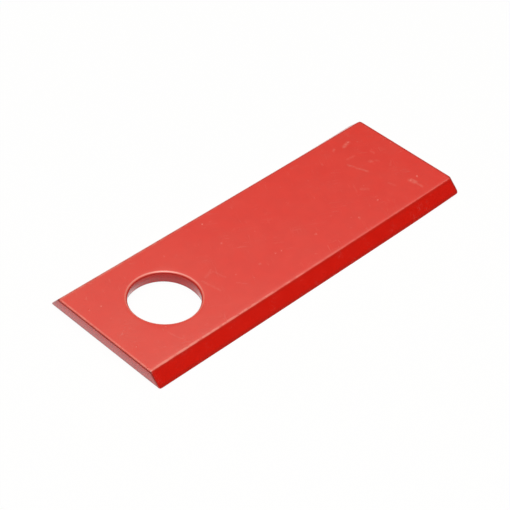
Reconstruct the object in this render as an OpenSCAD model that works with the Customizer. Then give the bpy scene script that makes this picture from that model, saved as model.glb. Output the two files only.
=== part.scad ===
// Flat knife of a rotary mower: a steel bar with a bevel along each long side,
// sheared ends and one round pivot hole near an end, painted all over.
// Millimetres, +Z up. The origin lies on the axis of the pivot hole, in the plane of the underside.
// +X runs from the pivot hole to the free end, and the bevels face up.

/* [Bar] */
// Length from end to end
blade_length = 110; // [90:1:160]
// Width over the two cutting edges
blade_width = 40; // [34:1:60]
// Thickness of the painted plate
blade_thickness = 4; // [3:0.1:6]

/* [Cutting edges] */
// Width of each bevel in plan, from the cutting edge to the ridge
bevel_width = 3; // [2.4:0.1:5]
// Radius of the blunt cutting edge
cutting_edge_radius = 0.25; // [0.1:0.05:0.4]
// Radius of the ridge where a bevel meets the upper face
ridge_radius = 0.5; // [0.4:0.1:2]

/* [Sheared ends] */
// Radius rolled by the shear: along the upper edge of the pivot end and the lower edge of the free end
shear_roll_radius = 0.7; // [0.3:0.1:1]
// Radius along the edge across from the rolled one at each end
shear_edge_radius = 0.25; // [0.1:0.05:0.4]
// Radius along the sloping edges where an end cuts across a bevel
bevel_end_radius = 0.35; // [0.2:0.05:0.5]
// Corner radius in plan at the pivot end
pivot_corner_radius = 0.5; // [0.3:0.1:1.5]
// Corner radius in plan at the free end
free_corner_radius = 1.3; // [0.3:0.1:4]

/* [Pivot hole] */
// Diameter of the pivot hole
pivot_diameter = 18.5; // [16:0.5:24]
// Distance of the hole's axis from the pivot end
pivot_from_end = 20; // [16:0.5:30]
// Radius drawn down by the punch around the upper rim
upper_rim_radius = 0.8; // [0.2:0.05:1]
// Radius around the lower rim
lower_rim_radius = 0.3; // [0.1:0.05:0.6]

/* [Hidden] */
$fn = 96;
paint_red = [0.8, 0.12, 0.08];
// Run of a cutting tool past the face it cuts
overrun = 1;
// Overlap of a round with the sloping flat beside it, so that the two cross and do not only graze
seam = 0.0002;
pivot_end_x = -pivot_from_end;
free_end_x = blade_length - pivot_from_end;
half_width = blade_width / 2;
pivot_radius = pivot_diameter / 2;
ridge_y = half_width - bevel_width;
// The bevel is the line from the ridge that touches the round of the cutting edge
edge_to_ridge = [bevel_width - cutting_edge_radius, blade_thickness - cutting_edge_radius];
edge_touch_angle = asin(cutting_edge_radius / norm(edge_to_ridge));
bevel_angle = atan2(edge_to_ridge[1], edge_to_ridge[0]) - edge_touch_angle;
bevel_normal = [sin(bevel_angle), cos(bevel_angle)];
// Centres of the rounds at the cutting edge and at the ridge, across the bar and up
edge_centre = [half_width - cutting_edge_radius, cutting_edge_radius];
ridge_centre = [ridge_y - ridge_radius * tan(bevel_angle / 2), blade_thickness - ridge_radius];

// Section of the bar on the +Y side of its middle
module half_section() {
    polygon([
        [0, 0],
        [edge_centre[0], 0],
        edge_centre + (cutting_edge_radius - seam) * bevel_normal,
        ridge_centre + (ridge_radius - seam) * bevel_normal,
        [ridge_centre[0], blade_thickness],
        [0, blade_thickness]
    ]);
    translate(edge_centre)
        circle(r = cutting_edge_radius);
    translate(ridge_centre)
        circle(r = ridge_radius);
}

// Section across the bar: flat underside, two bevels and the upper face
module bar_section() {
    half_section();
    mirror([1, 0])
        half_section();
}

// Rectangle with its own arc at each corner, counter-clockwise from the low left one
module rounded_rectangle(low, high, radii) {
    left = low[0];
    right = high[0];
    bottom = low[1];
    top = high[1];
    polygon([
        [left + radii[0], bottom],
        [right - radii[1], bottom],
        [right, bottom + radii[1]],
        [right, top - radii[2]],
        [right - radii[2], top],
        [left + radii[3], top],
        [left, top - radii[3]],
        [left, bottom + radii[0]]
    ]);
    centres = [
        [left + radii[0], bottom + radii[0]],
        [right - radii[1], bottom + radii[1]],
        [right - radii[2], top - radii[2]],
        [left + radii[3], top - radii[3]]
    ];
    for (i = [0 : len(radii) - 1])
        translate(centres[i])
            circle(r = radii[i]);
}

// Outline seen from the side: the sheared ends, rolled above at the pivot end and below at the free end
module side_outline() {
    rounded_rectangle(
        [pivot_end_x, 0],
        [free_end_x, blade_thickness],
        [shear_edge_radius, shear_roll_radius, shear_edge_radius, shear_roll_radius]
    );
}

// Outline seen from above: square ends with small corner radii
module plan_outline() {
    rounded_rectangle(
        [pivot_end_x, -half_width],
        [free_end_x, half_width],
        [pivot_corner_radius, free_corner_radius, free_corner_radius, pivot_corner_radius]
    );
}

// The bar without its hole: what its three outlines have in common
module bar() {
    intersection() {
        translate([pivot_end_x - overrun, 0, 0])
            rotate([90, 0, 90])
                linear_extrude(height = blade_length + 2 * overrun)
                    bar_section();
        translate([0, half_width + overrun, 0])
            rotate([90, 0, 0])
                linear_extrude(height = blade_width + 2 * overrun)
                    side_outline();
        translate([0, 0, -overrun])
            linear_extrude(height = blade_thickness + 2 * overrun)
                plan_outline();
    }
}

// Cutter along the edge where the free end cuts across the bevel on the +Y side
module bevel_end_round() {
    bevel_run = blade_thickness / sin(bevel_angle);
    translate([free_end_x, ridge_y, blade_thickness])
        rotate([90 + bevel_angle, 0, 180])
            translate([0, 0, -overrun])
                linear_extrude(height = bevel_run + 2 * overrun)
                    difference() {
                        translate([-overrun, -bevel_end_radius])
                            square(bevel_end_radius + overrun);
                        translate([bevel_end_radius, -bevel_end_radius])
                            circle(r = bevel_end_radius + seam);
                    }
}

// The same edge at both ends and on both sides
module bevel_end_rounds() {
    for (side = [0, 1])
        mirror([0, side, 0]) {
            bevel_end_round();
            translate([pivot_end_x + free_end_x, 0, 0])
                mirror([1, 0, 0])
                    bevel_end_round();
        }
}

// Cutter that rounds the rim of the hole at a height, with the air above it
module rim_round(radius, height) {
    translate([0, 0, height - radius])
        rotate_extrude()
            difference() {
                square([pivot_radius + radius, radius + overrun]);
                translate([pivot_radius + radius, 0])
                    circle(r = radius);
            }
}

// Round hole through the bar, with a rolled rim above and below
module pivot_hole() {
    translate([0, 0, -overrun])
        cylinder(h = blade_thickness + 2 * overrun, r = pivot_radius);
    rim_round(upper_rim_radius, blade_thickness);
    mirror([0, 0, 1])
        rim_round(lower_rim_radius, 0);
}

module blade() {
    color(paint_red)
        difference() {
            bar();
            bevel_end_rounds();
            pivot_hole();
        }
}

blade();
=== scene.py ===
"""Studio scene of one red-painted knife of a rotary mower, lying flat with its bevels up.

Sizes are millimetres in the fields of the classes and metres in the meshes.
The origin lies on the axis of the pivot hole, in the plane of the underside, and +X runs to the free end.
"""

import logging
import math
from dataclasses import dataclass, field
from enum import Enum
from functools import cached_property, reduce

import bmesh
import bpy
from mathutils import Matrix, Vector


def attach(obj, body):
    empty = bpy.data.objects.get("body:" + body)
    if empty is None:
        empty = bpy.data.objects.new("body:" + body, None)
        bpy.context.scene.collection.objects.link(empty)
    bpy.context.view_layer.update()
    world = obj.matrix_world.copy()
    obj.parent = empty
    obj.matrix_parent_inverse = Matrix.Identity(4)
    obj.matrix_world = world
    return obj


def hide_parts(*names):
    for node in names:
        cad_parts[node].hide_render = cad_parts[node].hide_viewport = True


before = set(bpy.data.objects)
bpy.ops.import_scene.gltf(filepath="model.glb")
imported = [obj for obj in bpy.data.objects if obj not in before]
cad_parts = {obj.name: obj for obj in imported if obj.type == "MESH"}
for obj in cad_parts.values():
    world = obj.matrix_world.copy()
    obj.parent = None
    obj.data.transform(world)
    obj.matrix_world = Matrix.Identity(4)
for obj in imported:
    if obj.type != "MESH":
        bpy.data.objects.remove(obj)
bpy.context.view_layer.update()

LOG = logging.getLogger("knife")
METRES_PER_MM = 0.001
Colour = tuple[float, float, float]
Point = tuple[float, float, float]
Ring = dict[bmesh.types.BMVert, Vector]
Edges = list[bmesh.types.BMEdge]
Socket = bpy.types.NodeSocket
Value = float | Socket
WHITE: Colour = (1.0, 1.0, 1.0)
MID_GREY = 0.5


class KnifeEdge(Enum):
    """The edges of the knife that carry a round of their own."""

    RIDGE = "ridge between the upper face and a bevel"
    CUTTING = "blunt cutting edge"
    PIVOT_ROLL = "upper edge of the pivot end, rolled by the shear"
    PIVOT_FOOT = "lower edge of the pivot end"
    FREE_BROW = "upper edge of the free end"
    FREE_ROLL = "lower edge of the free end, rolled by the shear"
    PIVOT_CORNER = "corner of the upper face at the pivot end, seen from above"
    FREE_CORNER = "corner of the upper face at the free end, seen from above"
    PIVOT_TIP = "tip of a cutting edge at the pivot end, seen from above"
    FREE_TIP = "tip of a cutting edge at the free end, seen from above"
    UPPER_RIM = "rim of the hole in the upper face, drawn down by the punch"
    LOWER_RIM = "rim of the hole in the underside"


class MarkKind(Enum):
    """Kinds of pale marks on the paint, each with the share of bare, chalky paint at its middle."""

    SCUFF = 0.14
    SCRATCH = 0.09
    FAINT = 0.05
    NIB = 0.13


@dataclass(frozen=True)
class Mark:
    """A pale mark on the upper face, given in millimetres from the middle of the hole."""

    kind: MarkKind
    start: tuple[float, float]
    end: tuple[float, float]
    width: float


@dataclass(frozen=True)
class Fade:
    """A smooth change over a range: where it starts and ends, and the value at both."""

    start: float
    end: float
    first: float = 0.0
    last: float = 1.0


@dataclass(frozen=True)
class Cloud:
    """A cloudy pattern: the size of its clouds, its finer layers, its shift and what its greys become."""

    grain: float
    layers: float
    shift: float
    contrast: Fade


@dataclass
class NodeBoard:
    """A node tree, emptied first, with short calls to add nodes and join them."""

    tree: bpy.types.NodeTree

    def __post_init__(self) -> None:
        """Empty the tree."""
        self.tree.nodes.clear()

    def add(self, kind: str, **settings: object) -> bpy.types.Node:
        """Add a node.

        Args:
            kind: The node's type name without its Shader Node prefix.
            settings: Properties of the node and their values.

        Returns:
            The new node.
        """
        node = self.tree.nodes.new("ShaderNode" + kind)
        for name, value in settings.items():
            setattr(node, name, value)
        return node

    def join(self, source: Socket, target: Socket) -> None:
        """Link an output to an input."""
        self.tree.links.new(source, target)

    def feed(self, target: Socket, value: object) -> None:
        """Give an input a constant or a link.

        Args:
            target: The input socket.
            value: A number, a colour, a vector or an output socket.
        """
        if isinstance(value, Socket):
            self.join(value, target)
        else:
            target.default_value = value

    def math(self, operation: str, first: Value, second: Value = 0.0) -> Socket:
        """Work out one sum.

        Args:
            operation: Name of the operation in the Math node.
            first: First number or socket.
            second: Second number or socket.

        Returns:
            The socket with the result.
        """
        node = self.add("Math", operation=operation)
        self.feed(node.inputs[0], first)
        self.feed(node.inputs[1], second)
        return node.outputs[0]

    def product(self, *values: Value) -> Socket:
        """Multiply numbers and sockets."""
        return reduce(lambda first, second: self.math("MULTIPLY", first, second), values)

    def largest(self, *values: Value) -> Socket:
        """Take the largest of numbers and sockets."""
        return reduce(lambda first, second: self.math("MAXIMUM", first, second), values)

    def fade(self, value: Value, over: Fade) -> Socket:
        """Map a value smoothly from one range to another and hold it at the ends.

        Args:
            value: The number or socket to map.
            over: The range that is read and the values at its ends.

        Returns:
            The socket with the mapped value.
        """
        node = self.add("MapRange", interpolation_type="SMOOTHSTEP")
        for socket, number in zip(node.inputs, (value, over.start, over.end, over.first, over.last)):
            self.feed(socket, number)
        return node.outputs[0]

    def vector(self, operation: str, first: object, second: object) -> Socket:
        """Work out one sum on vectors.

        Args:
            operation: Name of the operation in the Vector Math node.
            first: First vector or socket.
            second: Second vector or socket, or the number to scale by.

        Returns:
            The socket with the result, a number where the operation gives one.
        """
        node = self.add("VectorMath", operation=operation)
        self.feed(node.inputs[0], first)
        self.feed(node.inputs["Scale" if operation == "SCALE" else 1], second)
        return node.outputs["Value" if operation in ("DOT_PRODUCT", "DISTANCE") else "Vector"]

    def noise(self, place: Socket, grain: float, layers: float, shift: float) -> Socket:
        """Lay a cloudy pattern in grey.

        Args:
            place: Socket with the place in millimetres.
            grain: Size of the clouds in millimetres.
            layers: How many finer layers are added.
            shift: Distance by which the pattern is moved, to tell patterns apart.

        Returns:
            The socket with a value around middle grey.
        """
        node = self.add("TexNoise")
        self.join(self.vector("ADD", place, (shift, shift, shift)), node.inputs["Vector"])
        node.inputs["Scale"].default_value = 1 / grain
        node.inputs["Detail"].default_value = layers
        return node.outputs["Fac"]

    def cloud(self, place: Socket, pattern: Cloud, shift: float = 0.0) -> Socket:
        """Lay a cloudy pattern with its own contrast.

        Args:
            place: Socket with the place in millimetres.
            pattern: The pattern.
            shift: Distance by which it is moved on top of its own shift.

        Returns:
            The socket with the pattern's value.
        """
        grey = self.noise(place, pattern.grain, pattern.layers, pattern.shift + shift)
        return self.fade(grey, pattern.contrast)

    def mix(self, share: Value, first: object, second: object) -> Socket:
        """Blend two colours.

        Args:
            share: Share of the second colour.
            first: Colour or socket at a share of 0.
            second: Colour or socket at a share of 1.

        Returns:
            The socket with the blend.
        """
        node = self.add("Mix", data_type="RGBA")
        for name, value in (("Factor_Float", share), ("A_Color", first), ("B_Color", second)):
            socket = next(s for s in node.inputs if s.identifier == name)
            self.feed(socket, (*value, 1.0) if isinstance(value, tuple) else value)
        return next(s for s in node.outputs if s.identifier == "Result_Color")


@dataclass
class PaintPlace:
    """Measures of where a point of the paint lies on the knife, as sockets in millimetres."""

    board: NodeBoard
    body: "Knife"

    @cached_property
    def point(self) -> Socket:
        """The place itself, in the knife's own coordinates."""
        own = self.board.add("TexCoord").outputs["Object"]
        return self.board.vector("SCALE", own, 1 / METRES_PER_MM)

    @cached_property
    def axes(self) -> tuple[Socket, Socket, Socket]:
        """The place along, across and up, with the lengthwise bow taken out of the height."""
        board, body = self.board, self.body
        split = board.add("SeparateXYZ")
        board.join(self.point, split.inputs[0])
        along, across, height = split.outputs
        share = board.math("DIVIDE", board.math("SUBTRACT", along, body.middle), body.length / 2)
        return along, across, board.math("SUBTRACT", height, board.product(share, share, body.bow))

    @property
    def x(self) -> Socket:
        """The place along the knife."""
        return self.axes[0]

    @property
    def y(self) -> Socket:
        """The place across the knife."""
        return self.axes[1]

    @property
    def z(self) -> Socket:
        """The height over the underside."""
        return self.axes[2]

    @cached_property
    def below(self) -> Socket:
        """The depth below the upper face."""
        return self.board.math("SUBTRACT", self.body.thickness, self.z)

    @cached_property
    def side(self) -> Socket:
        """The distance from the middle line."""
        return self.board.math("ABSOLUTE", self.y)

    @cached_property
    def from_pivot_end(self) -> Socket:
        """The distance from the plane of the pivot end."""
        return self.board.math("SUBTRACT", self.x, self.body.pivot_end)

    @cached_property
    def from_free_end(self) -> Socket:
        """The distance from the plane of the free end."""
        return self.board.math("SUBTRACT", self.body.free_end, self.x)

    @cached_property
    def from_rim(self) -> Socket:
        """The distance outwards from the wall of the hole."""
        return self.board.math("SUBTRACT", self.to_edge(self.x, self.y), self.body.pivot_diameter / 2)

    @cached_property
    def bevel_depth(self) -> Socket:
        """The depth under the plane of the bevel on the same side."""
        board, body = self.board, self.body
        run = body.sharp_edge - body.ridge
        slant = math.hypot(run, body.thickness)
        inside = board.product(board.math("SUBTRACT", body.sharp_edge, self.side), body.thickness / slant)
        return board.math("SUBTRACT", inside, board.product(self.z, run / slant))

    def to_edge(self, first: Value, second: Value) -> Socket:
        """Measure how far a place lies from an edge, from its distances to the edge's two faces."""
        squares = (self.board.product(gap, gap) for gap in (first, second))
        return self.board.math("SQRT", self.board.math("ADD", *squares))


@dataclass(frozen=True)
class PaintFinish:
    """Semi-gloss red paint over steel, dulled by dust, with nibs, scuffs, scratches and rubbed edges, and
    with a painted sheen, painted highlights and painted shade in its colour.

    Sizes are millimetres.
    """

    name: str = "red_paint_worn"
    red: Colour = (0.6, 0.0074, 0.0025)
    deep_red: Colour = (0.575, 0.0066, 0.0023)
    # Pale dust colour, also used as a painted sheen on the upper face
    dust_and_sheen: Colour = (0.44, 0.33, 0.24)
    # Chalky colour of scuffs and rubbed edges, also used for painted highlights on the edges and on the
    # hole's lip
    chalk_and_highlight: Colour = (0.82, 0.46, 0.38)
    # Dark colour of the painted shade in creases, in the hole and along the edges
    painted_shade: Colour = (0.11, 0.018, 0.012)
    # The coat: its gloss goes from that of the faces to that of the hole's wall
    mottle: Cloud = Cloud(3.0, 5.0, 0.0, Fade(0.3, 0.7))
    roughness: Cloud = Cloud(4.0, 4.0, 80.0, Fade(0.3, 0.7, 0.18, 0.22))
    gloss: Fade = Fade(0.0, 1.0, 1.0, 0.4)
    peel_grain: float = 1.1
    peel_layers: float = 2.0
    peel_shift: float = 90.0
    peel_height: float = 0.004
    # Dust on the upper face, which also serves as a painted sheen there; both grow towards the pivot end
    top: Fade = Fade(0.4, 0.1)
    dust_and_sheen_along: Fade = Fade(35.0, -20.0, 0.057, 0.097)
    dust_and_sheen_cloud: Cloud = Cloud(9.0, 4.0, 20.0, Fade(0.3, 0.7, 0.88, 1.12))
    # Grains in the paint
    nib_spacing: float = 3.2
    nib_size: float = 0.32
    nib_core: float = 0.4
    nib_chance: Fade = Fade(0.5, 0.9)
    nib_height: float = 0.05
    nib_share: float = 0.1
    # Fine scratches: each run has a direction in degrees from the knife's length and a shift
    hairline_runs: tuple[tuple[float, float], ...] = ((62.0, 3.0), (-28.0, 70.0))
    hairline_stretch: Point = (14.0, 0.9, 0.9)
    hairline_grain: float = 1.0
    hairline_layers: float = 1.0
    hairline_width: Fade = Fade(0.012, 0.002)
    hairline_breaks: Cloud = Cloud(5.0, 2.0, 9.0, Fade(0.52, 0.66))
    hairline_depth: float = 0.01
    hairline_share: float = 0.06
    # Placed marks: a ragged outline, with the edge in shares of a mark's width
    wobble_grain: float = 0.625
    wobble_layers: float = 3.0
    wobble_reach: float = 0.9
    mark_edge: tuple[float, float] = (1.1, 0.1)
    mark_breaks: Cloud = Cloud(0.7, 3.0, 40.0, Fade(0.3, 0.62, 0.35, 1.0))
    # Rubbed edges with painted highlights along them, paler towards the pivot end, and a painted highlight on
    # the lip of the hole
    rub_and_highlight_reach: Fade = Fade(0.75, 0.2)
    rub_and_highlight_depth: Fade = Fade(0.28, 0.08)
    rub_and_highlight_along: Fade = Fade(60.0, -10.0, 0.2, 1.3)
    rub_and_highlight_patches: Cloud = Cloud(2.2, 4.0, 55.0, Fade(0.35, 0.65, 0.06, 0.2))
    # A painted highlight on the upper lip of the hole
    lip_highlight: Fade = Fade(0.85, 0.4, 0.0, 0.3)
    pale_dulling: float = 0.6
    # Wall of the hole, and painted shade in the crease under the rolled edges and on the wall
    hole_side: Fade = Fade(0.9, 0.7)
    hole_below: Fade = Fade(0.25, 0.45)
    hole_shade: float = 0.12
    crease_start: Fade = Fade(0.12, 0.25)
    crease: Fade = Fade(0.65, 0.35, 0.0, 0.65)
    crease_at_end: Fade = Fade(0.45, 0.1)
    crease_dulling: float = 3.3
    # Painted shade on the bevels and in thin dark lines along the edges
    bevel_face: Fade = Fade(0.4, 0.2)
    bevel_shade: Fade = Fade(0.1, 0.3, 0.0, 0.06)
    bevel_end: Fade = Fade(0.6, 0.2, 0.0, 0.55)
    free_bevel_end: Fade = Fade(1.3, 0.5, 0.0, 0.5)
    ridge_start: Fade = Fade(0.08, 0.2)
    under_ridge: Fade = Fade(0.9, 0.5, 0.0, 0.17)
    cutting_foot: Fade = Fade(0.8, 0.3, 0.0, 0.3)
    end_reach: Fade = Fade(1.2, 0.7)
    end_foot: Fade = Fade(0.6, 0.2, 0.0, 0.3)
    brink_at_end: Fade = Fade(1.0, 0.5)
    brink_at_side: Fade = Fade(0.7, 0.25, 0.0, 0.65)
    brink: Fade = Fade(0.4, 0.1, 0.0, 0.3)
    # Places of the marks
    marks: tuple[Mark, ...] = (
        Mark(MarkKind.SCUFF, (77.7, 11.8), (80.3, 12.4), 0.75),
        Mark(MarkKind.SCRATCH, (74.0, 12.2), (74.9, 12.9), 0.5),
        Mark(MarkKind.SCRATCH, (72.8, 5.4), (74.7, 0.0), 0.55),
        Mark(MarkKind.SCUFF, (80.7, -10.3), (80.9, -11.6), 1.1),
        Mark(MarkKind.SCRATCH, (80.8, -11.4), (81.0, -14.0), 0.7),
        Mark(MarkKind.NIB, (83.1, -10.5), (83.4, -10.1), 0.35),
        Mark(MarkKind.SCRATCH, (78.4, 2.6), (78.8, 2.3), 0.75),
        Mark(MarkKind.FAINT, (79.9, 1.8), (80.4, 1.1), 0.6),
        Mark(MarkKind.FAINT, (82.0, 5.5), (82.0, 4.4), 0.6),
        Mark(MarkKind.FAINT, (74.3, 7.3), (76.9, 7.2), 0.55),
        Mark(MarkKind.FAINT, (67.8, -3.9), (69.2, -5.1), 0.7),
        Mark(MarkKind.FAINT, (75.4, -7.2), (75.8, -8.9), 0.6),
        Mark(MarkKind.FAINT, (81.3, -2.2), (83.0, -1.1), 0.4),
        Mark(MarkKind.FAINT, (15.5, -1.0), (16.3, -4.8), 0.35),
        Mark(MarkKind.FAINT, (11.0, -2.0), (12.0, -7.4), 0.5),
        Mark(MarkKind.FAINT, (12.7, -1.4), (14.6, -0.9), 0.7),
        Mark(MarkKind.FAINT, (17.0, -8.0), (18.8, -10.2), 0.35),
        Mark(MarkKind.FAINT, (-7.8, -9.8), (-7.0, -13.2), 0.35),
        Mark(MarkKind.NIB, (24.6, 5.2), (24.6, 5.3), 0.45),
        Mark(MarkKind.NIB, (26.0, 13.9), (26.2, 14.1), 0.4),
        Mark(MarkKind.NIB, (10.2, 11.3), (10.2, 11.4), 0.36),
        Mark(MarkKind.NIB, (26.4, -7.1), (26.5, -7.1), 0.4),
        Mark(MarkKind.NIB, (32.2, -6.8), (32.3, -6.7), 0.42),
        Mark(MarkKind.NIB, (34.1, -7.0), (34.2, -7.0), 0.4),
        Mark(MarkKind.NIB, (19.0, -5.8), (19.1, -5.7), 0.36),
        Mark(MarkKind.NIB, (45.3, -8.4), (45.4, -8.4), 0.45),
        Mark(MarkKind.NIB, (58.5, -11.9), (58.7, -11.6), 0.34),
        Mark(MarkKind.NIB, (-13.8, 7.9), (-13.7, 8.0), 0.36),
        Mark(MarkKind.NIB, (67.6, -10.0), (67.8, -9.9), 0.36),
    )

    def placed_marks(self, at: PaintPlace) -> Socket:
        """Draw the scuffs, scratches and nibs that have a place of their own.

        Args:
            at: The place on the knife.

        Returns:
            The socket with the share of chalky paint.
        """
        board = at.board
        wobble = board.add("TexNoise")
        board.join(at.point, wobble.inputs["Vector"])
        wobble.inputs["Scale"].default_value = 1 / self.wobble_grain
        wobble.inputs["Detail"].default_value = self.wobble_layers
        bent = board.vector("SUBTRACT", wobble.outputs["Color"], (MID_GREY,) * 3)
        bent = board.vector("ADD", at.point, board.vector("SCALE", bent, self.wobble_reach))
        flat = board.vector("MULTIPLY", bent, (1.0, 1.0, 0.0))
        drawn: Value = 0.0
        for mark in self.marks:
            start, end = Vector((*mark.start, 0.0)), Vector((*mark.end, 0.0))
            along = end - start
            from_start = board.vector("SUBTRACT", flat, start)
            share = board.vector("DOT_PRODUCT", from_start, along / along.length_squared)
            share = board.math("MINIMUM", board.math("MAXIMUM", share, 0.0), 1.0)
            off = board.vector("DISTANCE", from_start, board.vector("SCALE", along, share))
            outer, inner = (mark.width * part for part in self.mark_edge)
            drawn = board.largest(drawn, board.fade(off, Fade(outer, inner, 0.0, mark.kind.value)))
        return board.product(drawn, board.cloud(at.point, self.mark_breaks))

    def nibs(self, at: PaintPlace) -> Socket:
        """Scatter grains of dust over the paint.

        Args:
            at: The place on the knife.

        Returns:
            The socket with 1 on a grain and 0 between grains.
        """
        board = at.board
        cells = board.add("TexVoronoi")
        board.join(at.point, cells.inputs["Vector"])
        cells.inputs["Scale"].default_value = 1 / self.nib_spacing
        chance = board.add("SeparateXYZ")
        board.join(cells.outputs["Color"], chance.inputs[0])
        size = self.nib_size / self.nib_spacing
        grain = board.fade(cells.outputs["Distance"], Fade(size, size * self.nib_core))
        return board.product(grain, board.fade(chance.outputs["X"], self.nib_chance))

    def hairlines(self, at: PaintPlace, turn: float, shift: float) -> Socket:
        """Draw fine, broken scratches that run one way.

        Args:
            at: The place on the knife.
            turn: Direction of the scratches in degrees from the knife's length.
            shift: Distance by which the pattern is moved.

        Returns:
            The socket with 1 on a scratch and 0 between scratches.
        """
        board = at.board
        mapping = board.add("Mapping", vector_type="TEXTURE")
        board.join(at.point, mapping.inputs["Vector"])
        mapping.inputs["Rotation"].default_value = (0.0, 0.0, math.radians(turn))
        mapping.inputs["Scale"].default_value = self.hairline_stretch
        wave = board.noise(mapping.outputs["Vector"], self.hairline_grain, self.hairline_layers, shift)
        crest = board.math("ABSOLUTE", board.math("SUBTRACT", wave, MID_GREY))
        breaks = board.cloud(at.point, self.hairline_breaks, shift)
        return board.product(board.fade(crest, self.hairline_width), breaks)

    def rubbed_and_highlit_edges(self, at: PaintPlace) -> Socket:
        """Find the rubbed paint and the painted highlights along the ridges, the ends and the rim of the
        hole.

        Args:
            at: The place on the knife.

        Returns:
            The socket with the share of chalky paint and painted highlight.
        """
        board = at.board
        from_ridge = board.math("SUBTRACT", at.side, at.body.ridge)
        gap = at.to_edge(from_ridge, at.below)
        for from_end in (at.from_pivot_end, at.from_free_end):
            gap = board.math("MINIMUM", gap, at.to_edge(from_end, at.below))
        patches = board.product(board.cloud(at.point, self.rub_and_highlight_patches), board.fade(at.x, self.rub_and_highlight_along))
        edges = board.product(board.fade(gap, self.rub_and_highlight_reach), patches)
        lip_highlight = board.fade(at.to_edge(at.from_rim, at.below), self.lip_highlight)
        return board.product(board.largest(edges, lip_highlight), board.fade(at.below, self.rub_and_highlight_depth))

    def hole_wall(self, at: PaintPlace) -> Socket:
        """Tell the wall of the hole from the rest: 1 on the wall and 0 away from it."""
        board = at.board
        return board.product(board.fade(at.from_rim, self.hole_side), board.fade(at.below, self.hole_below))

    def painted_crease_shade(self, at: PaintPlace, wall: Socket) -> Socket:
        """Find the painted shade in the crease under the rolled edges of the pivot end and in the hole.

        Args:
            at: The place on the knife.
            wall: Socket with 1 on the wall of the hole.

        Returns:
            The socket with the share of painted shade.
        """
        board = at.board
        crease = board.product(board.fade(at.below, self.crease_start), board.fade(at.below, self.crease))
        return board.product(crease, board.largest(board.fade(at.from_pivot_end, self.crease_at_end), wall))

    def painted_edge_shade(self, at: PaintPlace, wall: Socket) -> Socket:
        """Find the painted shade on the bevels, in the hole and in thin lines along the edges.

        Args:
            at: The place on the knife.
            wall: Socket with 1 on the wall of the hole.

        Returns:
            The socket with the share of painted shade.
        """
        board, body = at.board, at.body
        on_bevel = board.fade(at.bevel_depth, self.bevel_face)
        ridge_line = (board.fade(at.below, fade) for fade in (self.ridge_start, self.under_ridge))
        from_cutting_edge = board.math("SUBTRACT", body.width / 2, at.side)
        from_far_ridge = board.math("SUBTRACT", body.ridge, at.y)
        at_brink = board.largest(
            board.fade(at.from_free_end, self.brink_at_end),
            board.fade(from_far_ridge, self.brink_at_side),
        )
        return board.largest(
            board.fade(at.to_edge(at.from_pivot_end, at.bevel_depth), self.bevel_end),
            board.fade(at.to_edge(at.from_free_end, at.bevel_depth), self.free_bevel_end),
            board.product(board.fade(at.from_pivot_end, self.end_reach), board.fade(at.z, self.end_foot)),
            board.fade(from_cutting_edge, self.cutting_foot),
            board.product(*ridge_line, on_bevel),
            board.product(at_brink, board.fade(at.below, self.brink)),
            board.product(on_bevel, board.fade(at.below, self.bevel_shade)),
            board.product(wall, self.hole_shade),
        )

    def material(self, body: "Knife") -> bpy.types.Material:
        """Build the paint.

        Args:
            body: The knife that is painted.

        Returns:
            The finished material.
        """
        material = bpy.data.materials.new(self.name)
        material.use_nodes = True
        board = NodeBoard(material.node_tree)
        shader = board.add("BsdfPrincipled")
        output = board.add("OutputMaterial")
        board.join(shader.outputs["BSDF"], output.inputs["Surface"])
        at = PaintPlace(board, body)
        upper = board.fade(at.below, self.top)
        wall = self.hole_wall(at)

        paint = board.mix(board.cloud(at.point, self.mottle), self.deep_red, self.red)
        # Dust and a painted sheen on the upper face, stronger towards the pivot end
        dust_and_sheen = board.product(board.fade(at.x, self.dust_and_sheen_along), board.cloud(at.point, self.dust_and_sheen_cloud), upper)
        paint = board.mix(dust_and_sheen, paint, self.dust_and_sheen)
        nibs = self.nibs(at)
        lines = board.largest(*(self.hairlines(at, turn, shift) for turn, shift in self.hairline_runs))
        # Chalky marks and rubbed edges, with painted highlights along the edges and on the hole's lip
        pale_and_highlit = board.largest(
            board.product(self.placed_marks(at), upper),
            board.product(nibs, self.nib_share),
            board.product(lines, self.hairline_share),
            self.rubbed_and_highlit_edges(at),
        )
        paint = board.mix(pale_and_highlit, paint, self.chalk_and_highlight)
        # Painted shade in the crease under the rolled edges and on the hole's wall, then on the bevels and
        # along the edges
        painted_shade = self.painted_crease_shade(at, wall)
        paint = board.mix(painted_shade, paint, self.painted_shade)
        paint = board.mix(self.painted_edge_shade(at, wall), paint, self.painted_shade)
        board.join(paint, shader.inputs["Base Color"])

        dull = board.cloud(at.point, self.roughness)
        dull = board.math("ADD", dull, board.product(pale_and_highlit, self.pale_dulling))
        dull = board.math("ADD", dull, board.product(painted_shade, self.crease_dulling))
        board.join(dull, shader.inputs["Roughness"])
        board.join(board.fade(wall, self.gloss), shader.inputs["Specular IOR Level"])

        peel = board.noise(at.point, self.peel_grain, self.peel_layers, self.peel_shift)
        height = board.product(peel, self.peel_height)
        height = board.math("ADD", height, board.product(nibs, self.nib_height))
        height = board.math("SUBTRACT", height, board.product(lines, self.hairline_depth))
        bump = board.add("Bump")
        bump.inputs["Distance"].default_value = METRES_PER_MM
        board.join(height, bump.inputs["Height"])
        board.join(bump.outputs["Normal"], shader.inputs["Normal"])
        return material


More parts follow.
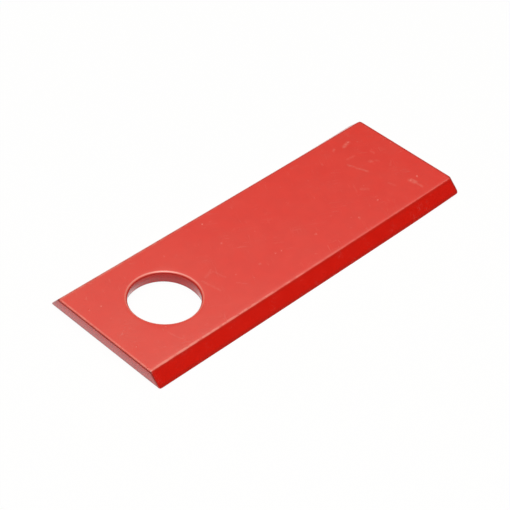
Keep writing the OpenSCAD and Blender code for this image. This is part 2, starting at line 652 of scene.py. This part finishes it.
@dataclass
class Knife:
    """The painted steel knife: a bar with two bevels, sheared ends and a punched hole.

    All sizes are millimetres. The walls are drawn as rings, one under the other, from the upper face to
    the underside.
    """

    length: float = 110.0
    width: float = 40.0
    thickness: float = 3.85
    bevel_width: float = 3.2
    pivot_diameter: float = 18.4
    pivot_from_end: float = 20.0
    # Rise of both ends, and thinning of the free end from below
    bow: float = 0.15
    free_lift: float = 0.4
    lift_reach: float = 22.0
    lift_curve: float = 1.5
    # Break-out below the sheared land; a share of it is missing in the hole, towards the free end
    sheared_land: float = 1.5
    shear_break: float = 0.3
    free_break: float = 0.08
    hole_break: float = 0.65
    clean_share: float = 0.42
    clean_narrowness: float = 6.0
    end_reach: float = 4.0
    # Fall of the upper face along the near ridge, which fades towards the free end
    crown_width: float = 1.3
    crown_drop: float = 0.045
    crown_fade: float = 0.7
    # Fineness of the mesh, and the distance at which points are merged
    cell: float = 1.0
    edge_rows: tuple[float, ...] = (0.27, 0.5, 0.8, 1.2)
    collar: float = 12.0
    collar_rings: int = 3
    round_steps: int = 24
    round_depth: float = 0.8
    round_rings: int = 12
    wall_rings: int = 3
    weld: float = 0.001
    radii: dict[KnifeEdge, float] = field(default_factory=lambda: {
        KnifeEdge.RIDGE: 0.3,
        KnifeEdge.CUTTING: 0.12,
        KnifeEdge.PIVOT_ROLL: 0.5,
        KnifeEdge.PIVOT_FOOT: 0.25,
        KnifeEdge.FREE_BROW: 0.25,
        KnifeEdge.FREE_ROLL: 0.7,
        KnifeEdge.PIVOT_CORNER: 0.35,
        KnifeEdge.FREE_CORNER: 0.8,
        KnifeEdge.PIVOT_TIP: 0.5,
        KnifeEdge.FREE_TIP: 0.7,
        KnifeEdge.UPPER_RIM: 0.8,
        KnifeEdge.LOWER_RIM: 0.3,
    })
    paint: PaintFinish = PaintFinish()

    @property
    def pivot_end(self) -> float:
        """Place of the pivot end along the knife."""
        return -self.pivot_from_end

    @property
    def free_end(self) -> float:
        """Place of the free end along the knife."""
        return self.length - self.pivot_from_end

    @property
    def middle(self) -> float:
        """Place halfway along the knife."""
        return (self.pivot_end + self.free_end) / 2

    @property
    def ridge(self) -> float:
        """Distance of the ridges from the middle line."""
        return self.width / 2 - self.bevel_width

    @property
    def sharp_edge(self) -> float:
        """Distance from the middle line of the sharp edge that the blunt cutting edge is rounded from."""
        blunt = self.radii[KnifeEdge.CUTTING]
        across, up = self.bevel_width - blunt, self.thickness - blunt
        slope = math.atan2(up, across) - math.asin(blunt / math.hypot(across, up))
        return self.ridge + self.thickness / math.tan(slope)

    def fillet(self, before: Vector, corner: Vector, after: Vector, radius: float) -> list[Vector]:
        """Round a corner of a profile.

        Args:
            before: A point on the line into the corner.
            corner: The sharp corner.
            after: A point on the line out of it.
            radius: Radius of the round.

        Returns:
            The points of the round, in order.
        """
        into, out = (corner - before).normalized(), (after - corner).normalized()
        turn = into.angle_signed(out)
        start = corner - into * radius * math.tan(abs(turn) / 2)
        side = Vector((into.y, -into.x)) * (1 if turn > 0 else -1)
        centre = start + side * radius
        steps = range(self.round_steps + 1)
        return [centre + Matrix.Rotation(-turn * i / self.round_steps, 2) @ (start - centre) for i in steps]

    def wall_profile(
        self, upper: Vector, bend: Vector, lower: Vector, rounds: tuple[KnifeEdge, KnifeEdge]
    ) -> list[Vector]:
        """Draw the profile of a wall from the upper face over both its rounds to the underside.

        Args:
            upper: Sharp upper corner, as a distance outwards and a height.
            bend: Point of the wall between its corners.
            lower: Sharp lower corner.
            rounds: The named rounds of the upper and the lower corner.

        Returns:
            The points of the profile, from the top down.
        """
        inwards = Vector((-self.thickness, 0))
        first = self.fillet(upper + inwards, upper, bend, self.radii[rounds[0]])
        last = self.fillet(bend, lower, lower + inwards, self.radii[rounds[1]])
        return first + [bend] + last

    @cached_property
    def heights(self) -> list[float]:
        """Heights of the level rings, from the upper face down, closer together over the rounds."""
        depths = [self.round_depth * (i / self.round_rings) ** 2 for i in range(self.round_rings + 1)]
        wall = self.thickness - 2 * self.round_depth
        between = [self.round_depth + wall * i / self.wall_rings for i in range(1, self.wall_rings)]
        return [self.thickness - d for d in depths + between] + depths[::-1]

    def levelled(self, profile: list[Vector]) -> list[float]:
        """Read a profile at the heights of the rings.

        Args:
            profile: Points of the profile, from the top down.

        Returns:
            The distance outwards at each ring.
        """
        reaches, part = [], 0
        for height in self.heights:
            while part < len(profile) - 2 and profile[part + 1].y > height:
                part += 1
            above, below = profile[part:part + 2]
            reaches.append(above.x + (below.x - above.x) * (above.y - height) / (above.y - below.y))
        return reaches

    @cached_property
    def side_reach(self) -> list[float]:
        """Reach of a long side from the middle line, ring by ring."""
        ridge, edge = Vector((self.ridge, self.thickness)), Vector((self.sharp_edge, 0))
        rounds = (KnifeEdge.RIDGE, KnifeEdge.CUTTING)
        return self.levelled(self.wall_profile(ridge, (ridge + edge) / 2, edge, rounds))

    @cached_property
    def pivot_reach(self) -> list[float]:
        """Reach of the pivot end past its plane, ring by ring."""
        land = Vector((0, self.thickness - self.sheared_land))
        foot = Vector((-self.shear_break, 0))
        rounds = (KnifeEdge.PIVOT_ROLL, KnifeEdge.PIVOT_FOOT)
        return self.levelled(self.wall_profile(Vector((0, self.thickness)), land, foot, rounds))

    @cached_property
    def free_reach(self) -> list[float]:
        """Reach of the free end past its plane, ring by ring; the shear cut it from below."""
        brow = Vector((-self.free_break, self.thickness))
        land = Vector((0, self.sheared_land))
        rounds = (KnifeEdge.FREE_BROW, KnifeEdge.FREE_ROLL)
        return self.levelled(self.wall_profile(brow, land, Vector((0, 0)), rounds))

    @cached_property
    def rim_reach(self) -> list[float]:
        """Reach of the hole's wall into the hole, ring by ring."""
        land = Vector((0, self.thickness - self.sheared_land))
        foot = Vector((-self.hole_break, 0))
        rounds = (KnifeEdge.UPPER_RIM, KnifeEdge.LOWER_RIM)
        return self.levelled(self.wall_profile(Vector((0, self.thickness)), land, foot, rounds))

    def next_ring(self, bm: bmesh.types.BMesh, edges: Edges, ring: Ring) -> tuple[Edges, Ring]:
        """Draw a ring of edges out into the next one.

        Args:
            bm: The mesh that grows.
            edges: The edges of the ring.
            ring: The points of the ring, each with the place that its strip of wall starts from.

        Returns:
            The edges and the points of the new ring.
        """
        drawn = bmesh.ops.extrude_edge_only(bm, edges=edges)["geom"]
        fresh = [g for g in drawn if isinstance(g, bmesh.types.BMVert)]
        parents = {v: next(e.other_vert(v) for e in v.link_edges if e.other_vert(v) in ring) for v in fresh}
        fresh_edges = [g for g in drawn if isinstance(g, bmesh.types.BMEdge)]
        return fresh_edges, {v: ring[p] for v, p in parents.items()}

    def upper_face(self, bm: bmesh.types.BMesh, corner: Vector, far_corner: Vector, rim: float) -> None:
        """Lay the upper face as a grid and set the round hole in it.

        Args:
            bm: The mesh to fill.
            corner: Corner of the face at the pivot end.
            far_corner: The corner across from it.
            rim: Radius of the hole in the face.
        """
        size = far_corner - corner
        middle = (corner + far_corner) / 2
        bmesh.ops.create_grid(
            bm,
            x_segments=round(size.x / self.cell),
            y_segments=2 * round(size.y / self.cell / 2),
            size=0.5,
            matrix=Matrix.Translation((*middle, self.thickness)) @ Matrix.Diagonal((*size, 1, 1)),
        )
        inside = [f for f in bm.faces if max(abs(c) for c in f.calc_center_median().xy) < self.collar]
        bmesh.ops.delete(bm, geom=inside, context="FACES")
        reach = self.collar + self.cell
        opening = [
            e for e in bm.edges
            if e.is_boundary and all(max(abs(c) for c in v.co.xy) < reach for v in e.verts)
        ]
        ring = {v: v.co.copy() for e in opening for v in e.verts}
        for step in range(1, self.collar_rings + 1):
            opening, ring = self.next_ring(bm, opening, ring)
            for vert, start in ring.items():
                vert.co.xy = start.xy.lerp(start.xy.normalized() * rim, step / self.collar_rings)
        for inset in self.edge_rows:
            cuts = (
                ((corner.x + inset, 0, 0), (1, 0, 0)),
                ((far_corner.x - inset, 0, 0), (1, 0, 0)),
                ((0, corner.y + inset, 0), (0, 1, 0)),
                ((0, far_corner.y - inset, 0), (0, 1, 0)),
            )
            for point, normal in cuts:
                whole = bm.verts[:] + bm.edges[:] + bm.faces[:]
                bmesh.ops.bisect_plane(bm, geom=whole, plane_co=point, plane_no=normal)

    def place_in_ring(self, start: Vector, step: int) -> Vector:
        """Find where a point of the upper face's outline comes to lie in a lower ring.

        Args:
            start: The point in the outline with sharp corners.
            step: Number of the ring, counted from the upper face.

        Returns:
            The point's place in that ring.
        """
        at_pivot = start.x < self.middle
        side, end = self.side_reach, self.pivot_reach if at_pivot else self.free_reach
        outwards = -1 if at_pivot else 1
        plane = self.pivot_end if at_pivot else self.free_end
        flank = math.copysign(1, start.y)
        along = (start.x - plane) * outwards
        follow = max(0.0, 1 + (along - end[0]) / self.end_reach)
        along += (end[step] - end[0]) * follow
        across = start.y * flank * side[step] / side[0]
        corner = self.radii[KnifeEdge.PIVOT_CORNER if at_pivot else KnifeEdge.FREE_CORNER]
        tip = self.radii[KnifeEdge.PIVOT_TIP if at_pivot else KnifeEdge.FREE_TIP]
        height = self.heights[step]
        radius = tip + (corner - tip) * height / self.thickness
        centre = Vector((end[step] - radius, side[step] - radius))
        arm = Vector((along, across)) - centre
        if arm.x > 0 and arm.y > 0:
            arm *= radius / arm.length
        place = centre + arm
        return Vector((plane + place.x * outwards, place.y * flank, height))

    def walls(self, bm: bmesh.types.BMesh) -> None:
        """Draw the walls down from the upper face, ring by ring, and close them with the underside.

        Args:
            bm: The mesh with the upper face.
        """
        rim = self.rim_reach
        lower = bmesh.ops.duplicate(bm, geom=bm.verts[:] + bm.edges[:] + bm.faces[:])
        below = [g for g in lower["geom"] if isinstance(g, bmesh.types.BMVert)]
        under_faces = [g for g in lower["geom"] if isinstance(g, bmesh.types.BMFace)]
        bmesh.ops.reverse_faces(bm, faces=under_faces)
        below_set = set(below)
        open_edges = [e for e in bm.edges if e.is_boundary and e.verts[0] not in below_set]
        starts = {v: v.co.copy() for e in open_edges for v in e.verts}
        under_starts = {v: v.co.copy() for v in below if v.is_boundary}

        def settle(vert: bmesh.types.BMVert, start: Vector, step: int) -> None:
            """Move a point of the outline or the rim to its place in a ring."""
            if start.xy.length < self.collar:
                direction, height, reach = start.xy.normalized(), self.heights[step], rim[step]
                if height < self.thickness - self.sheared_land:
                    reach *= 1 - self.clean_share * max(0.0, direction.x) ** self.clean_narrowness
                vert.co = (*direction * (self.pivot_diameter / 2 - reach), height)
            else:
                vert.co = self.place_in_ring(start, step)

        for vert, start in starts.items():
            settle(vert, start, 0)
        ring, edges = starts, open_edges
        for step in range(1, len(rim)):
            edges, ring = self.next_ring(bm, edges, ring)
            for vert, start in ring.items():
                settle(vert, start, step)
        bmesh.ops.translate(bm, vec=(0, 0, -self.thickness), verts=below)
        drawn_in = (self.free_end + self.free_reach[-1]) / (self.free_end + self.free_reach[0])
        bmesh.ops.scale(bm, vec=(drawn_in, 1, 1), verts=below)
        for vert, start in under_starts.items():
            settle(vert, start, len(rim) - 1)
        bmesh.ops.remove_doubles(bm, verts=bm.verts[:], dist=self.weld)
        bmesh.ops.recalc_face_normals(bm, faces=bm.faces[:])

    def bend(self, bm: bmesh.types.BMesh) -> None:
        """Let the upper face fall towards the near ridge, thin the free end and raise both ends a little.

        Args:
            bm: The mesh of the body.
        """
        for vert in bm.verts:
            reach = (self.crown_width - self.ridge - vert.co.y) / self.crown_width
            if reach > 0:
                far = max(0.0, vert.co.x - self.middle) / (self.length / 2)
                drop = self.crown_drop * (1 - self.crown_fade * far)
                vert.co.z *= 1 - drop / self.thickness * min(reach, 1.0) ** 2
            rise = (vert.co.x - self.free_end + self.lift_reach) / self.lift_reach
            if rise > 0:
                vert.co.z += self.free_lift * rise ** self.lift_curve * (1 - vert.co.z / self.thickness)
            vert.co.z += self.bow * ((vert.co.x - self.middle) / (self.length / 2)) ** 2

    def build(self) -> bpy.types.Object:
        """Model the knife.

        Returns:
            The knife as an object at the origin.
        """
        side = self.side_reach[0]
        corner = Vector((self.pivot_end - self.pivot_reach[0], -side))
        far_corner = Vector((self.free_end + self.free_reach[0], side))
        bm = bmesh.new()
        self.upper_face(bm, corner, far_corner, self.pivot_diameter / 2 - self.rim_reach[0])
        self.walls(bm)
        self.bend(bm)
        for face in bm.faces:
            face.smooth = True
        bmesh.ops.scale(bm, vec=(METRES_PER_MM,) * 3, verts=bm.verts[:])
        mesh = bpy.data.meshes.new("knife")
        bm.to_mesh(mesh)
        bm.free()
        knife = bpy.data.objects.new("knife", mesh)
        bpy.context.scene.collection.objects.link(knife)
        return knife

    def dress(self, knife: bpy.types.Object) -> None:
        """Paint the knife and set it in the frame.

        Args:
            knife: The knife's object.
        """
        knife.data.materials.append(self.paint.material(self))
        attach(knife, "root")
        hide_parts("blade")


@dataclass
class Studio:
    """White table, soft light overhead and the camera. Sizes are millimetres and angles degrees."""

    # Table
    table_radius: float = 40000.0
    table_sides: int = 64
    table_white: float = 0.7
    table_glow_share: float = 0.95
    # Soft light, and the room's light that grows between two angles above the horizon
    light_size: float = 480.0
    light_centre: Point = (-146.0, -166.0, 970.0)
    light_radiance: float = 8.75
    light_colour: Colour = (1.0, 0.955, 0.86)
    room_level: float = 0.02
    dome_level: float = 1.5
    dome_low: float = 32.0
    dome_high: float = 62.0
    # Camera
    eye: Point = (-209.76, -224.84, 290.06)
    aim: Point = (31.02, -0.77, 0.0)
    roll: float = -3.455
    focal_length: float = 119.78
    sensor: float = 36.0
    nearest: float = 10.0
    farthest: float = 200000.0

    def table(self) -> bpy.types.Object:
        """Lay the white table under the knife.

        Returns:
            The table's object.
        """
        bm = bmesh.new()
        radius = self.table_radius * METRES_PER_MM
        bmesh.ops.create_circle(bm, cap_ends=True, segments=self.table_sides, radius=radius)
        mesh = bpy.data.meshes.new("table")
        bm.to_mesh(mesh)
        bm.free()
        table = bpy.data.objects.new("table", mesh)
        bpy.context.scene.collection.objects.link(table)
        material = bpy.data.materials.new("table_white")
        material.use_nodes = True
        board = NodeBoard(material.node_tree)
        lit = board.add("BsdfDiffuse")
        lit.inputs["Color"].default_value = (self.table_white,) * 3 + (1.0,)
        glow = board.add("Emission")
        path = board.add("LightPath")
        rays = ("Is Camera Ray", "Is Glossy Ray", "Is Transmission Ray")
        seen = board.largest(*(path.outputs[ray] for ray in rays))
        blend = board.add("MixShader")
        board.join(board.product(seen, self.table_glow_share), blend.inputs[0])
        board.join(lit.outputs[0], blend.inputs[1])
        board.join(glow.outputs[0], blend.inputs[2])
        output = board.add("OutputMaterial")
        board.join(blend.outputs[0], output.inputs["Surface"])
        mesh.materials.append(material)
        return table

    def softbox(self) -> bpy.types.Object:
        """Hang the soft light over the knife.

        Returns:
            The light's object.
        """
        lamp = bpy.data.lights.new("softbox", "AREA")
        lamp.shape = "SQUARE"
        lamp.size = self.light_size * METRES_PER_MM
        lamp.energy = self.light_radiance * math.pi * lamp.size ** 2
        lamp.color = self.light_colour
        light = bpy.data.objects.new("softbox", lamp)
        light.location = Vector(self.light_centre) * METRES_PER_MM
        backwards = Vector(self.light_centre) - Vector(self.aim)
        light.rotation_euler = backwards.to_track_quat("Z", "Y").to_euler()
        light.visible_camera = False
        bpy.context.scene.collection.objects.link(light)
        return light

    def room(self) -> None:
        """Fill the room with soft light that fades towards the horizon, behind a white backdrop."""
        world = bpy.data.worlds.new("room")
        world.use_nodes = True
        board = NodeBoard(world.node_tree)
        air = board.add("Background")
        seen = board.add("LightPath").outputs["Is Camera Ray"]
        board.join(board.mix(seen, self.light_colour, WHITE), air.inputs["Color"])
        direction = board.add("TexCoord")
        height = board.add("SeparateXYZ")
        board.join(direction.outputs["Generated"], height.inputs[0])
        low, high = (math.sin(math.radians(a)) for a in (self.dome_low, self.dome_high))
        level = board.fade(height.outputs["Z"], Fade(low, high, self.room_level, self.dome_level))
        board.join(board.largest(level, seen), air.inputs["Strength"])
        output = board.add("OutputWorld")
        board.join(air.outputs[0], output.inputs["Surface"])
        bpy.context.scene.world = world

    def camera(self) -> bpy.types.Object:
        """Stand the camera at the picture's angle.

        Returns:
            The camera's object.
        """
        lens = bpy.data.cameras.new("camera")
        lens.lens = self.focal_length
        lens.sensor_width = self.sensor
        lens.clip_start = self.nearest * METRES_PER_MM
        lens.clip_end = self.farthest * METRES_PER_MM
        camera = bpy.data.objects.new("camera", lens)
        eye = Vector(self.eye)
        forward = (Vector(self.aim) - eye).normalized()
        level = forward.cross(Vector((0, 0, 1))).normalized()
        right = Matrix.Rotation(math.radians(self.roll), 3, forward) @ level
        up = right.cross(forward)
        turn = Matrix((right, up, -forward)).transposed()
        camera.matrix_world = Matrix.Translation(eye * METRES_PER_MM) @ turn.to_4x4()
        bpy.context.scene.collection.objects.link(camera)
        bpy.context.scene.camera = camera
        return camera


def main() -> None:
    """Build the studio and the knife, and report each piece."""
    logging.basicConfig(level=logging.INFO, format="%(name)s: %(message)s")
    bpy.context.scene.view_settings.view_transform = "Standard"
    studio = Studio()
    for made in (studio.camera(), studio.table(), studio.softbox()):
        LOG.info("studio: %s", made.name)
    studio.room()
    design = Knife()
    knife = design.build()
    design.dress(knife)
    LOG.info("piece: %s, %d faces", knife.name, len(knife.data.polygons))


if __name__ == "__main__":
    main()
